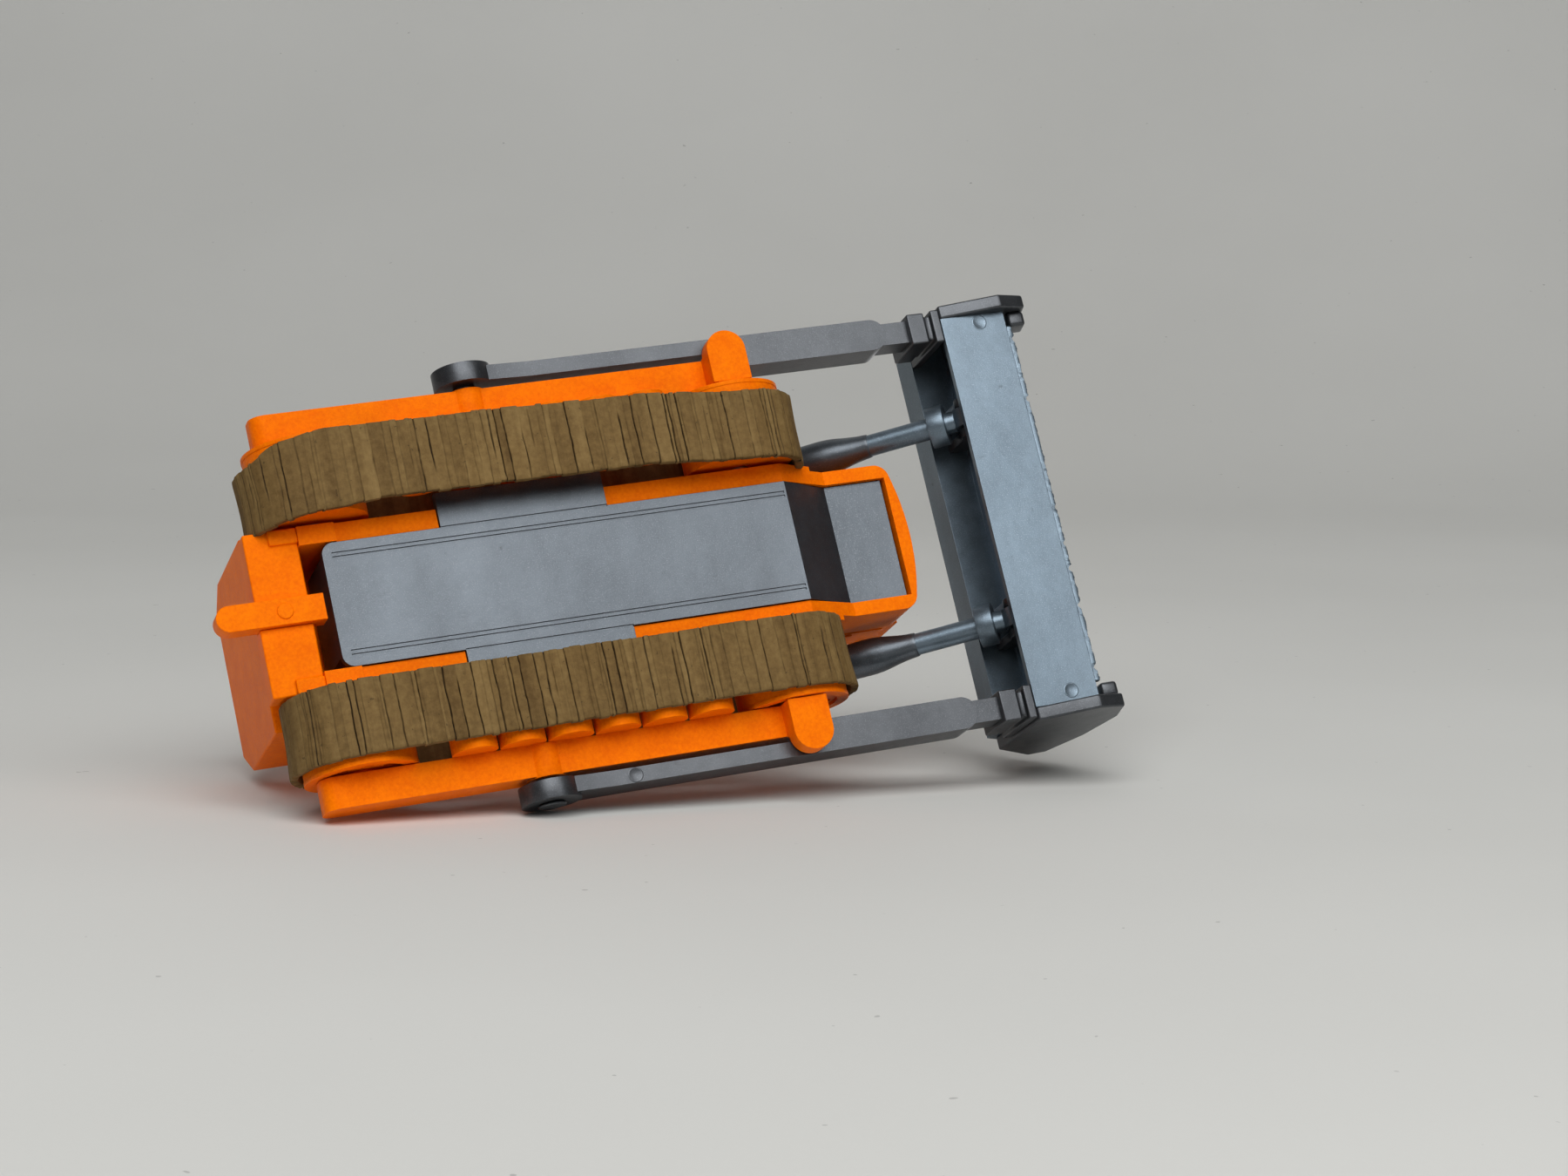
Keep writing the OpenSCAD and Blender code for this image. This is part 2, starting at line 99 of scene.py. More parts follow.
# %% The socket wrapper
class Wire:
    """An output socket that can be added, multiplied and so on."""

    def __init__(self, finish, socket):
        self.finish, self.socket = finish, socket

    def maths(self, operation, a, b):
        return self.finish.node("ShaderNodeMath", {"operation": operation}, {0: a, 1: b})

    def __add__(self, other):
        return self.maths("ADD", self, other)

    def __mul__(self, other):
        return self.maths("MULTIPLY", self, other)

    def __sub__(self, other):
        return self.maths("SUBTRACT", self, other)

    def __rsub__(self, other):
        return self.maths("SUBTRACT", other, self)

    def __pow__(self, other):
        return self.maths("POWER", self, other)

    __radd__ = __add__
    __rmul__ = __mul__


class Finish:
    """A material under construction."""

    def __init__(self, name):
        self.material = bpy.data.materials.new(name)
        self.material.use_nodes = True
        self.tree = self.material.node_tree
        self.shader = self.tree.nodes["Principled BSDF"]
        place = self.node("ShaderNodeTexCoord", output="Object")
        self.place = self.node(
            "ShaderNodeVectorMath", {"operation": "SCALE"}, {0: place, "Scale": 1 / MM}
        )

    def node(self, kind, settings=None, inputs=None, output=0):
        """Adds a node: its settings first, then values or wires for its sockets."""
        made = self.tree.nodes.new(kind)
        for key, value in (settings or {}).items():
            if key == "stops":
                ramp = made.color_ramp
                while len(ramp.elements) < len(value):
                    ramp.elements.new(1)
                for element, (at, shade) in zip(ramp.elements, value):
                    element.position = at
                    element.color = (*shade, 1) if isinstance(shade, tuple) else (shade,) * 3 + (1,)
            else:
                setattr(made, key, value)
        for key, value in (inputs or {}).items():
            self.feed(made.inputs[key], value)
        return Wire(self, made.outputs[output])

    def feed(self, socket, value):
        if isinstance(value, Wire):
            self.tree.links.new(value.socket, socket)
        elif isinstance(value, tuple) and len(value) == 3 and socket.type == "RGBA":
            socket.default_value = (*value, 1)
        else:
            socket.default_value = value

    def noise(self, per_mm, detail=2, roughness=0.5, stretch=(1, 1, 1)):
        """Noise from 0 to 1 with so many features in a millimetre."""
        place = self.node(
            "ShaderNodeVectorMath", {"operation": "MULTIPLY"}, {0: self.place, 1: stretch}
        )
        return self.node(
            "ShaderNodeTexNoise",
            {},
            {"Vector": place, "Scale": per_mm, "Detail": detail, "Roughness": roughness},
        )

    def ramp(self, value, *stops):
        return self.node("ShaderNodeValToRGB", {"stops": stops}, {"Fac": value})

    def mix(self, share, a, b, blend="MIX"):
        return self.node(
            "ShaderNodeMix",
            {"data_type": "RGBA", "blend_type": blend},
            {0: share, 6: a, 7: b},
            output=2,
        )

    def bump(self, height, depth_mm, strength=1.0, under=None):
        inputs = {"Height": height, "Distance": depth_mm * MM, "Strength": strength}
        if under:
            inputs["Normal"] = under
        return self.node("ShaderNodeBump", {}, inputs, output="Normal")

    def set(self, **sockets):
        for name, value in sockets.items():
            self.feed(self.shader.inputs[name.replace("_", " ")], value)
        return self.material


# %% [markdown]
# ## Orange plastic
#
# The orange parts have a grained satin surface that came from a spark-eroded mould. Two bumps
# make it, a fine grain and a slow ripple, and a few darker specks take the colour down a little.

# %% Orange plastic
def make_orange():
    f = Finish("orange_plastic")
    grain = f.noise(3.4, detail=4, roughness=0.65)
    ripple = f.noise(0.45, detail=2)
    tone = ripple * 0.35 + grain * 0.65
    shade = f.mix(f.ramp(tone, (0.36, 0.0), (0.64, 1.0)), (0.84, 0.134, 0.0), (0.97, 0.198, 0.0))
    specks = f.ramp(f.noise(2.3, detail=4, roughness=0.7), (0.67, 0.0), (0.74, 1.0))
    shade = f.mix(specks * 0.3, shade, (0.42, 0.06, 0.001))
    normal = f.bump(ripple, 0.12, 0.5, under=f.bump(grain, 0.07, 0.6))
    return f.set(
        Base_Color=shade, Roughness=grain * 0.16 + 0.42, Normal=normal, Specular_IOR_Level=0.22,
        Specular_Tint=(1.0, 0.5, 0.12),
    )


# %% [markdown]
# ## Silver plastic
#
# Silver plastic is clear resin with fine aluminium flakes. The flakes lie flat along the flow of
# the melt, so a face that mirrors the light is bright and one that doesn't is nearly black. That
# is what a rough metal does, and slow streaks in its tone are the flow marks.

# %% Silver plastic
def make_silver(name, dark, light, sheen):
    """Silver plastic whose flow runs from a dark to a light tone, with flakes of the sheen's tone."""
    f = Finish(name)
    flow = f.noise(0.16, detail=5, roughness=0.62, stretch=(1, 0.5, 1))
    cloud = f.noise(0.7, detail=4, roughness=0.65)
    flake = f.noise(11, detail=1)
    tone = f.ramp(flow * 0.6 + cloud * 0.4, (0.36, dark), (0.64, light))
    tone = f.mix(f.ramp(flake, (0.58, 0.0), (0.72, 1.0)) * 0.45, tone, sheen)
    soil = f.ramp(f.noise(0.9, detail=5, roughness=0.7), (0.66, 0.0), (0.78, 1.0))
    tone = f.mix(soil * 0.5, tone, (0.04, 0.04, 0.038))
    normal = f.bump(cloud, 0.05, 0.5, under=f.bump(flake, 0.012, 0.5))
    return f.set(
        Base_Color=tone, Metallic=0.82, Roughness=cloud * 0.16 + 0.30 + soil * 0.1, Normal=normal
    )


# %% [markdown]
# ## Rubber belt
#
# The belts are cut from a brown rubber hose. The knife left cross ribs, which are in the mesh,
# and between them the tone drifts from olive to brown with thin dark lines.
# Deep in the cuts the rubber is painted nearly black: painted shade.

# %% Rubber belt
def make_belt_rubber():
    f = Finish("rubber_belt")
    slat = f.node("ShaderNodeAttribute", {"attribute_name": "slat"}, output="Fac")
    groove = f.node("ShaderNodeAttribute", {"attribute_name": "groove"}, output="Fac")
    along = f.noise(0.8, detail=4, roughness=0.6, stretch=(1, 0.10, 1))
    fine = f.noise(4.5, detail=4, roughness=0.7, stretch=(1, 0.07, 1))
    mottle = f.noise(1.6, detail=5, roughness=0.7)
    tone = f.ramp(
        slat * 0.15 + along * 0.41 + mottle * 0.44,
        (0.34, (0.098, 0.056, 0.018)),
        (0.50, (0.160, 0.098, 0.034)),
        (0.66, (0.225, 0.145, 0.054)),
    )
    tone = f.mix(f.ramp(fine, (0.56, 0.0), (0.70, 1.0)) * 0.25, tone, (0.075, 0.044, 0.018))
    pits = f.ramp(f.noise(2.4, detail=2), (0.70, 0.0), (0.74, 1.0))
    tone = f.mix(pits * 0.55, tone, (0.03, 0.020, 0.010))
    # painted shade: the deeper a vertex lies in a cut, the nearer to black the rubber is painted
    tone = f.mix(groove, tone, (0.014, 0.009, 0.005))
    normal = f.bump(fine, 0.04, 0.5, under=f.bump(mottle, 0.06, 0.35))
    return f.set(Base_Color=tone, Roughness=mottle * 0.14 + 0.68, Normal=normal, Specular_IOR_Level=0.12)


# %% [markdown]
# ## Steel and black plastic
#
# The pins are drawn wire with faint lines round them. The black parts are a dull plastic.

# %% Steel and black plastic
def make_steel():
    f = Finish("steel")
    lines = f.noise(4, detail=3, stretch=(6, 0.4, 6))
    tone = f.mix(lines, (0.42, 0.42, 0.44), (0.62, 0.62, 0.64))
    return f.set(Base_Color=tone, Metallic=1.0, Roughness=lines * 0.2 + 0.22, Normal=f.bump(lines, 0.01))


def make_black():
    f = Finish("black_plastic")
    grain = f.noise(6, detail=3)
    dust = f.noise(0.6, detail=5, roughness=0.7)
    tone = f.mix(f.ramp(dust, (0.5, 0.0), (0.8, 1.0)), (0.018, 0.018, 0.019), (0.06, 0.058, 0.055))
    return f.set(Base_Color=tone, Roughness=grain * 0.2 + 0.42, Normal=f.bump(grain, 0.025, 0.5))


def make_glass():
    f = Finish("lamp_glass")
    flutes = f.noise(3, detail=1, stretch=(0.2, 1, 0.2))
    tone = f.mix(flutes, (0.62, 0.64, 0.62), (0.82, 0.83, 0.8))
    return f.set(Base_Color=tone, Roughness=flutes * 0.1 + 0.08, Normal=f.bump(flutes, 0.08, 0.5))


finishes = {
    "orange_plastic": make_orange(),
    "silver_plastic": make_silver(
        "silver_frame", (0.060, 0.064, 0.070), (0.092, 0.098, 0.106), (0.16, 0.17, 0.18)
    ),
    # the pan's and the blade's silvers are lighter copies of the same silver plastic: painted light, not a
    # different plastic
    "silver_pan": make_silver(
        "silver_pan", (0.074, 0.084, 0.095), (0.106, 0.121, 0.137), (0.19, 0.205, 0.22)
    ),
    "silver_blade": make_silver(
        "silver_blade", (0.112, 0.146, 0.176), (0.168, 0.219, 0.264), (0.29, 0.34, 0.39)
    ),
    "lamp_glass": make_glass(),
    "rubber_belt": make_belt_rubber(),
    "steel": make_steel(),
    "black_plastic": make_black(),
}
print("finishes:", ", ".join(finishes))

# %% [markdown]
# ## From a bmesh to a piece
#
# Meshes are edited in millimetres, where the operators' own tolerances are small next to the
# part, and become metres when they are finished. A piece takes its finish and its body from the
# part that it stands for.


# %% Finishing a piece
# parts that wear a lighter copy of their silver plastic: painted light, for the parts that the lamps make
# look brighter
SPECIAL_FINISH = {
    "belly_pan": "silver_pan", "blade_shell": "silver_blade", "cutting_edge": "silver_blade",
    "lift_rod_left": "silver_blade", "lift_rod_right": "silver_blade",
    "lift_barrel_left": "silver_pan", "lift_barrel_right": "silver_pan",
}


def finish_piece(bm, name, like, replaces=(), smooth=40, weighted=True, finish=None):
    """Makes bm, in millimetres, a piece that rides and looks like the part called like."""
    bmesh.ops.scale(bm, vec=(MM,) * 3, verts=bm.verts)
    mesh = bpy.data.meshes.new(name)
    bm.to_mesh(mesh)
    bm.free()
    mesh.shade_smooth()
    mesh.set_sharp_from_angle(angle=math.radians(smooth))
    piece = bpy.data.objects.new(name, mesh)
    bpy.context.scene.collection.objects.link(piece)
    mesh.materials.append(finishes[finish or SPECIAL_FINISH.get(like, slot_of_node[like])])
    if weighted:
        modifier = piece.modifiers.new("Even normals", "WEIGHTED_NORMAL")
        modifier.keep_sharp = True
    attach(piece, body_of_node[like])
    if replaces:
        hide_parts(*replaces)
    return piece


def part_copy(node):
    """A part as a clean bmesh in millimetres, with whole flat faces."""
    bm = bmesh.new()
    bm.from_mesh(nodes[node].data)
    bmesh.ops.scale(bm, vec=(1 / MM,) * 3, verts=bm.verts)
    bmesh.ops.remove_doubles(bm, verts=bm.verts, dist=0.002)
    bmesh.ops.dissolve_limit(
        bm, angle_limit=math.radians(1.5), verts=bm.verts, edges=bm.edges, delimit=set()
    )
    return bm


def soften(bm, radius, segments=3, angle=32):
    """Rounds the edges that turn by more than the angle, as a mould's cutter leaves them."""
    edges = [e for e in bm.edges if e.is_manifold and e.calc_face_angle(0) > math.radians(angle)]
    bmesh.ops.bevel(
        bm, geom=edges, offset=radius, offset_type="OFFSET", segments=segments, profile=0.5,
        affect="EDGES", clamp_overlap=True, material=-1,
    )


def even_curve(knots, per_gap=6):
    """A smooth line through a few (along, radius) points, with more points between them."""
    line = []
    for k in range(len(knots) - 1):
        before, a, b, after = (Vector(knots[min(max(k + d, 0), len(knots) - 1)]) for d in (-1, 0, 1, 2))
        for step in range(per_gap):
            t = step / per_gap
            bend = (b - before) * t + (before * 2 - a * 5 + b * 4 - after) * t**2
            line.append(a + (bend + (a * 3 - before - b * 3 + after) * t**3) / 2)
    return [tuple(point) for point in line] + [tuple(knots[-1])]


def lathe(bm, profile, place, steps=48):
    """Adds the solid that a (along, radius) outline sweeps about its axis, put at a place."""
    earlier = set(bm.verts)
    rim = [bm.verts.new((along, radius, 0)) for along, radius in profile]
    line = [bm.edges.new(pair) for pair in zip(rim, rim[1:])]
    bmesh.ops.spin(
        bm, geom=rim + line, cent=(0, 0, 0), axis=(1, 0, 0), angle=math.tau, steps=steps, use_merge=True
    )
    swept = list(set(bm.verts) - earlier)
    bmesh.ops.transform(bm, matrix=place, verts=swept)
    bmesh.ops.remove_doubles(bm, verts=swept, dist=0.0005)
    bmesh.ops.recalc_face_normals(bm, faces=bm.faces)


def axis_at(point, direction):
    """The place that lays +X of a lathed shape along a direction, starting at a point."""
    turn = Vector(direction).to_track_quat("X", "Z").to_matrix().to_4x4()
    return Matrix.Translation(point) @ turn


def slab(bm, low, high, radius=0.12, segments=3):
    """Adds a plate or block with rounded edges."""
    low, high = Vector(low), Vector(high)
    made = bmesh.ops.create_cube(bm, size=1)["verts"]
    bmesh.ops.scale(bm, vec=high - low, verts=made)
    bmesh.ops.translate(bm, vec=(low + high) / 2, verts=made)
    edges = list({e for v in made for e in v.link_edges})
    bmesh.ops.bevel(
        bm, geom=edges, offset=radius, segments=segments, profile=0.5, affect="EDGES",
        clamp_overlap=True, material=-1,
    )


# %% [markdown]
# ## Moulded edges
#
# A mould has no sharp inside corner, so each plastic edge is slightly round, and that is where
# the light catches. The big orange parts have a large radius and the thin belly pan a small one.

# %% Softened parts
EDGE_RADIUS = {
    "hull_tub": 0.24, "rear_crossbar": 0.24, "hitch_tongue": 0.16, "engine_hood": 0.3,
    "operator_deck": 0.2, "cowl": 0.3, "fuel_tank": 0.3, "track_frame": 0.3, "track_rollers": 0.45,
    "sprocket": 0.14, "idler": 0.14, "belly_pan": 0.05, "arm_pin": 0.12, "cylinder_pin": 0.12,
    "push_arm": 0.22, "arm_knuckle": 0.2, "blade_shell": 0.14, "end_plate": 0.2,
    "corner_bit": 0.3, "rod_lugs": 0.12, "front_axle": 0.1, "rear_axle": 0.1, "rod_pin": 0.08,
    "radiator_grille": 0.05, "lift_rod": 0.2,
}


def kind_of(node):
    return node.removesuffix("_left").removesuffix("_right")


NOSE_RADIUS = 1.1
nose_tip = box_mm("hull_tub")[1].x


def is_nose_corner(edge):
    """Says if an edge of the hull is one of the two upright corners of its nose."""
    a, b = (v.co for v in edge.verts)
    middle = (a + b) / 2
    return abs((b - a).normalized().z) > 0.99 and middle.x > nose_tip - 1.6 and abs(middle.y) > 6


for node in nodes:
    if kind_of(node) in EDGE_RADIUS:
        shape = part_copy(node)
        if node == "hull_tub":
            bmesh.ops.bevel(
                shape, geom=[e for e in shape.edges if is_nose_corner(e)], offset=NOSE_RADIUS, segments=8,
                profile=0.5, affect="EDGES", clamp_overlap=True, material=-1,
            )
        soften(shape, EDGE_RADIUS[kind_of(node)])
        made = finish_piece(shape, "moulded_" + node, node, [node])
        print(f"{made.name}: {len(made.data.polygons)} faces")

# %% [markdown]
# ## Lift cylinders
#
# A barrel is drawn along +X, as the outline of half of it, and spun. It swells from the eye, is
# widest past its middle and then thins to the rod, which slides in its hollow end.

# %% Cylinder barrels
BARREL = [(1.3, 1.28), (2.6, 1.38), (5.0, 1.5), (7.6, 1.58)]
BARREL += [(9.0, 1.5), (10.3, 1.26), (11.3, 1.11), (12, 1.05)]
BARREL_MOUTH = [(12.15, 1.03), (12.2, 1.0), (2.4, 1.0), (2.4, 0)]
EYE_RING = [(-1.6, 0.75), (-1.6, 1.6), (-1.52, 1.8), (-1.3, 1.9)]
EYE_RING += [(-along, radius) for along, radius in reversed(EYE_RING)]

for side in ("left", "right"):
    eye_low, eye_high = box_mm("cylinder_pin_" + side)
    rod_low, rod_high = box_mm("rod_pin_" + side)
    eye = (eye_low + eye_high) / 2
    eye.y = (rod_low.y + rod_high.y) / 2
    down = ((rod_low + rod_high) / 2 - eye).normalized()
    shape = bmesh.new()
    lathe(shape, even_curve(BARREL) + BARREL_MOUTH, axis_at(eye, down), 64)
    lathe(shape, EYE_RING + EYE_RING[:1], axis_at(eye, (0, 1, 0)), 64)
    node = "lift_barrel_" + side
    finish_piece(shape, "turned_" + node, node, [node])

# %% [markdown]
# ## Worn cutting edge
#
# The blade's lower lip was trimmed by hand. It is cut into many short lengths, and each one is
# moved a little, with a deeper chip here and there.

# %% Cutting edge
EDGE_CUTS = 360
WEAR, CHIP, TRIM = 1.5, 1.2, 0.05
shape = part_copy("cutting_edge")
soften(shape, 0.07, 2)
low, high = box_mm("cutting_edge")
long_edges = [e for e in shape.edges if abs(e.verts[0].co.y - e.verts[1].co.y) > 20]
bmesh.ops.subdivide_edges(shape, edges=long_edges, cuts=EDGE_CUTS)
for v in shape.verts:
    along = v.co.y
    ahead = (v.co.x - low.x) / (high.x - low.x)
    coarse = noise.noise(Vector((along * 1.7, v.co.z * 0.8, 3))) * 0.10
    wear = coarse + noise.noise(Vector((along * 6, 0, 8))) * 0.05
    chip = max(0, noise.noise(Vector((along * 0.9, 7, 1))) - 0.32) * 0.9
    v.co.x += ahead * (wear * WEAR - chip * CHIP - TRIM)
    v.co.z += ahead * wear * 0.4
bmesh.ops.triangulate(shape, faces=[f for f in shape.faces if len(f.verts) > 4])
finish_piece(shape, "trimmed_cutting_edge", "cutting_edge", ["cutting_edge"], 30)

# %% [markdown]
# ## Marks of the mould
#
# Pins push a moulding out of its mould and leave a shallow round mark with a raised rim.

# %% Ejector marks
def pin_mark(name, like, spot, direction, radius):
    shape = bmesh.new()
    rim = [(-0.06, 0), (-0.06, radius + 0.06), (0.0, radius + 0.05), (0.03, radius), (0.03, radius - 0.05)]
    rim += [(0.01, radius - 0.1), (0.01, 0)]
    lathe(shape, rim, axis_at(spot, direction), 40)
    finish_piece(shape, name, like, weighted=False)


BELOW = (0, 0, -1)
BLADE_MARK_X, ARM_MARK_X = 32.5, -6.6
blade_low, blade_high = box_mm("blade_shell")
arm_low, arm_high = box_mm("push_arm_left")
for side, y in (("right", 0.75 - blade_high.y), ("left", blade_high.y - 0.95)):
    pin_mark("blade_mark_" + side, "blade_shell", (BLADE_MARK_X, y, blade_low.z), BELOW, 0.62)
arm_spot = (ARM_MARK_X, arm_high.y - 0.95, arm_low.z + 1.15)
pin_mark("arm_mark_left", "push_arm_left", arm_spot, BELOW, 0.6)

# %% [markdown]
# ## Exhaust, air cleaner and fuel cap
#
# These are turned parts on the hood and the tank. The exhaust has a silencer with three bands and
# a pipe with a flared mouth, the air cleaner a domed bowl, and the cap a knurled rim.

# %% Turned parts
def stand_at(node):
    """The place that stands a turned part upright on the foot of the part it replaces."""
    low, high = box_mm(node)
    return axis_at(((low.x + high.x) / 2, (low.y + high.y) / 2, low.z), (0, 0, 1)), high.z - low.z


place, tall = stand_at("exhaust_stack")
silencer = [(0, 0), (0, 1.5), (0.25, 1.5), (0.4, 1.35), (0.5, 0.85), (0.75, 0.85), (0.95, 1.05)]
for band in (1.5, 2.5, 3.5):
    silencer += [(band - 0.16, 1.1), (band - 0.12, 1.19), (band + 0.12, 1.19), (band + 0.16, 1.1)]
silencer += [(4.1, 1.05), (4.35, 0.85), (4.45, 0.62), (tall - 0.8, 0.6), (tall - 0.1, 0.66), (tall, 0.6)]
silencer += [(tall, 0.45), (tall - 0.5, 0.42), (tall - 2.4, 0.42), (tall - 2.4, 0)]
shape = bmesh.new()
lathe(shape, silencer, place)
finish_piece(shape, "turned_exhaust_stack", "exhaust_stack", ["exhaust_stack"], 34)

place, tall = stand_at("air_cleaner")
bowl = [(0, 0), (0, 1.05), (0.15, 1.05), (0.3, 0.8), (2.0, 0.8), (2.3, 0.9), (2.4, 1.45), (2.5, 1.58)]
bowl += [(2.9, 1.6), (2.95, 1.52), (3.1, 1.52), (3.15, 1.6), (3.5, 1.58)]
bowl += [(3.9, 1.25), (4.1, 0.8), (tall - 0.06, 0.35), (tall, 0)]
shape = bmesh.new()
lathe(shape, bowl, place)
finish_piece(shape, "turned_air_cleaner", "air_cleaner", ["air_cleaner"], 34)

place, tall = stand_at("fuel_cap")
cap = [(0, 0), (0, 0.95), (0.12, 0.95), (0.16, 1.15), (0.62, 1.15), (0.72, 1.06), (0.74, 0.8)]
cap += [(tall, 0.7), (tall, 0)]
KNURLS, KNURL_DEPTH = 24, 0.03
shape = bmesh.new()
lathe(shape, cap, place, 96)
axis = place.translation
for v in shape.verts:
    arm = Vector((v.co.x - axis.x, v.co.y - axis.y, 0))
    if arm.length > 1.1:
        v.co -= arm * KNURL_DEPTH * (1 + math.cos(KNURLS * math.atan2(arm.y, arm.x)))
finish_piece(shape, "knurled_fuel_cap", "fuel_cap", ["fuel_cap"], 34)

# %% [markdown]
# ## Driver's place
#
# The cushions are blocks whose sides swell, with a seam round the middle. The levers are turned
# rods in rubber boots, and three round gauges sit on the cowl's slope.

# %% Seat, levers and gauges
def cushion(bm, low, high, power=5, cells=14):
    """Adds a pillow that fills a box: a fine cube pulled onto a rounded shape, with a seam."""
    low, high = Vector(low), Vector(high)
    middle, half = (low + high) / 2, (high - low) / 2
    earlier = set(bm.verts)
    made = bmesh.ops.create_cube(bm, size=2)["verts"]
    edges = list({e for v in made for e in v.link_edges})
    bmesh.ops.subdivide_edges(bm, edges=edges, cuts=cells, use_grid_fill=True)
    for v in set(bm.verts) - earlier:
        size = sum(abs(c) ** power for c in v.co) ** (1 / power)
        at = v.co / size
        seam = 0.035 * max(0, 1 - abs(at.z) / 0.13)
        v.co = middle + Vector((at.x * half.x * (1 - seam), at.y * half.y * (1 - seam), at.z * half.z))


SEAT_REAR, SEAT_FRONT, SEAT_HALF = -26.0, -19.4, 4.3
ARMREST_Y, ARMREST_HALF = 5, 0.6
seat_low, seat_high = box_mm("operator_seat")
base = seat_low.z
shape = bmesh.new()
slab(shape, (SEAT_REAR - 0.2, 0.3 - SEAT_HALF, base), (SEAT_FRONT - 0.6, SEAT_HALF - 0.3, base + 1.2), 0.2)
cushion(shape, (SEAT_REAR, -SEAT_HALF, base + 1.1), (SEAT_FRONT, SEAT_HALF, base + 3.1))
cushion(shape, (SEAT_REAR - 1.1, -SEAT_HALF, base + 2.5), (SEAT_REAR + 1, SEAT_HALF, seat_high.z))
for side in (1, -1):
    y, post_y = side * ARMREST_Y, side * (ARMREST_Y - 0.1)
    inner, outer = y - ARMREST_HALF, y + ARMREST_HALF
    cushion(shape, (SEAT_REAR + 0.1, inner, base + 4.3), (SEAT_FRONT - 0.7, outer, base + 5.7))
    post_x = SEAT_REAR + 1.3
    slab(shape, (post_x - 0.5, post_y - 0.25, base + 0.8), (post_x + 0.5, post_y + 0.25, base + 4.6), 0.1)
finish_piece(shape, "padded_operator_seat", "operator_seat", ["operator_seat"], 50, False)

lever_low, lever_high = box_mm("control_levers")
tall = lever_high.z - lever_low.z
LEVER = [(0, 0), (0, 0.62), (0.3, 0.6), (0.42, 0.48), (0.6, 0.52), (0.75, 0.4), (0.95, 0.42), (1.1, 0.24)]
LEVER += [(tall - 1.4, 0.17), (tall - 1.2, 0.3), (tall - 0.8, 0.52), (tall - 0.4, 0.56)]
LEVER += [(tall - 0.1, 0.36), (tall, 0)]
shape = bmesh.new()
for y in (-2.6, -1.2, 2.2):
    lathe(shape, LEVER, axis_at(((lever_low.x + lever_high.x) / 2, y, lever_low.z), (0, 0, 1)), 24)
finish_piece(shape, "turned_control_levers", "control_levers", ["control_levers"], 50)

GAUGE = [(-0.2, 0.7), (0.1, 0.7), (0.16, 0.62), (0.16, 0.54)]
GAUGE += [(0.08, 0.5), (0.08, 0.06), (0.11, 0.04), (0.11, 0)]
cowl_low, cowl_high = box_mm("cowl")
slope = Vector((-2.9, 0, 1.4)).normalized()
shape = bmesh.new()
for y in (-3.2, 0, 3.2):
    lathe(shape, GAUGE, axis_at((cowl_low.x + 0.7, y, cowl_high.z - 1.45), slope), 32)
finish_piece(shape, "cowl_gauges", "control_levers", (), 34)

# %% [markdown]
# ## Lamps, lids and tread
#
# Two lamps stand on the hood and two on the tank, of which one looks back. Lids with hinges close
# the hood's sides, straps hold the tank, and small raised lozenges roughen the fenders.

# %% Lamps
LAMP = [(-0.6, 0), (-0.6, 0.3), (-0.35, 0.62), (0.1, 0.86), (0.62, 0.92)]
LAMP += [(0.7, 0.86), (0.7, 0.78), (0.55, 0.74), (0.55, 0)]
LAMP_FOOT = [(-1.25, 0), (-1.25, 0.42), (-1.1, 0.42), (-1.0, 0.2), (-0.4, 0.18), (-0.4, 0)]
LAMP_LENS = [(0.5, 0.73), (0.58, 0.7), (0.68, 0.45), (0.72, 0)]
hood_low, hood_high = box_mm("engine_hood")
tank_low, tank_high = box_mm("fuel_tank")
lamps = [
    ((hood_high.x - 1.5, 3.6, hood_high.z + 1.15), 1, "engine_hood"),
    ((hood_high.x - 1.5, -3.6, hood_high.z + 1.15), 1, "engine_hood"),
    ((tank_low.x + 1.6, 5, tank_high.z + 1.1), -1, "fuel_tank"),
    ((tank_high.x - 1.2, -5, tank_high.z + 1.1), 1, "fuel_tank"),
]
for number, (spot, facing, holder) in enumerate(lamps):
    shape = bmesh.new()
    lathe(shape, LAMP, axis_at(spot, (facing, 0, 0)), 40)
    lathe(shape, LAMP_FOOT, axis_at(spot, (0, 0, 1)), 20)
    finish_piece(shape, f"lamp_{number}", holder, (), 34, finish="black_plastic")
    shape = bmesh.new()
    lathe(shape, LAMP_LENS, axis_at(spot, (facing, 0, 0)), 40)
    finish_piece(shape, f"lens_{number}", holder, (), 50, finish="lamp_glass")

# %% Hood lids and tank straps
SIDE_LIDS = [(9.3, 14.6), (15.2, 21.3)]
PROUD = 0.12
HINGE = [(-0.45, 0), (-0.45, 0.16), (-0.4, 0.2), (0.4, 0.2), (0.45, 0.16), (0.45, 0)]
LATCH = [(0, 0.34), (0.1, 0.34), (0.16, 0.26), (0.16, 0)]
shape = bmesh.new()
for side in (1, -1):
    y = side * hood_high.y
    outside = y + side * 0.08
    for rear, front in SIDE_LIDS:
        slab(shape, (rear, y - 0.1, hood_low.z + 1.2), (front, y + 0.1, hood_high.z - 3.0), 0.08)
        for x in (rear + 1, front - 1):
            lathe(shape, HINGE, axis_at((x, outside, hood_high.z - 2.95), (1, 0, 0)), 16)
        lathe(shape, LATCH, axis_at(((rear + front) / 2, outside, hood_low.z + 1.8), (0, side, 0)), 20)
slab(shape, (-2.2, -3.2, hood_high.z - 0.1), (9, -0.4, hood_high.z + PROUD), 0.08)
slab(shape, (13.4, -3.2, hood_high.z - 0.1), (19.2, 3.2, hood_high.z + PROUD), 0.08)
finish_piece(shape, "hood_lids", "engine_hood", (), 34)

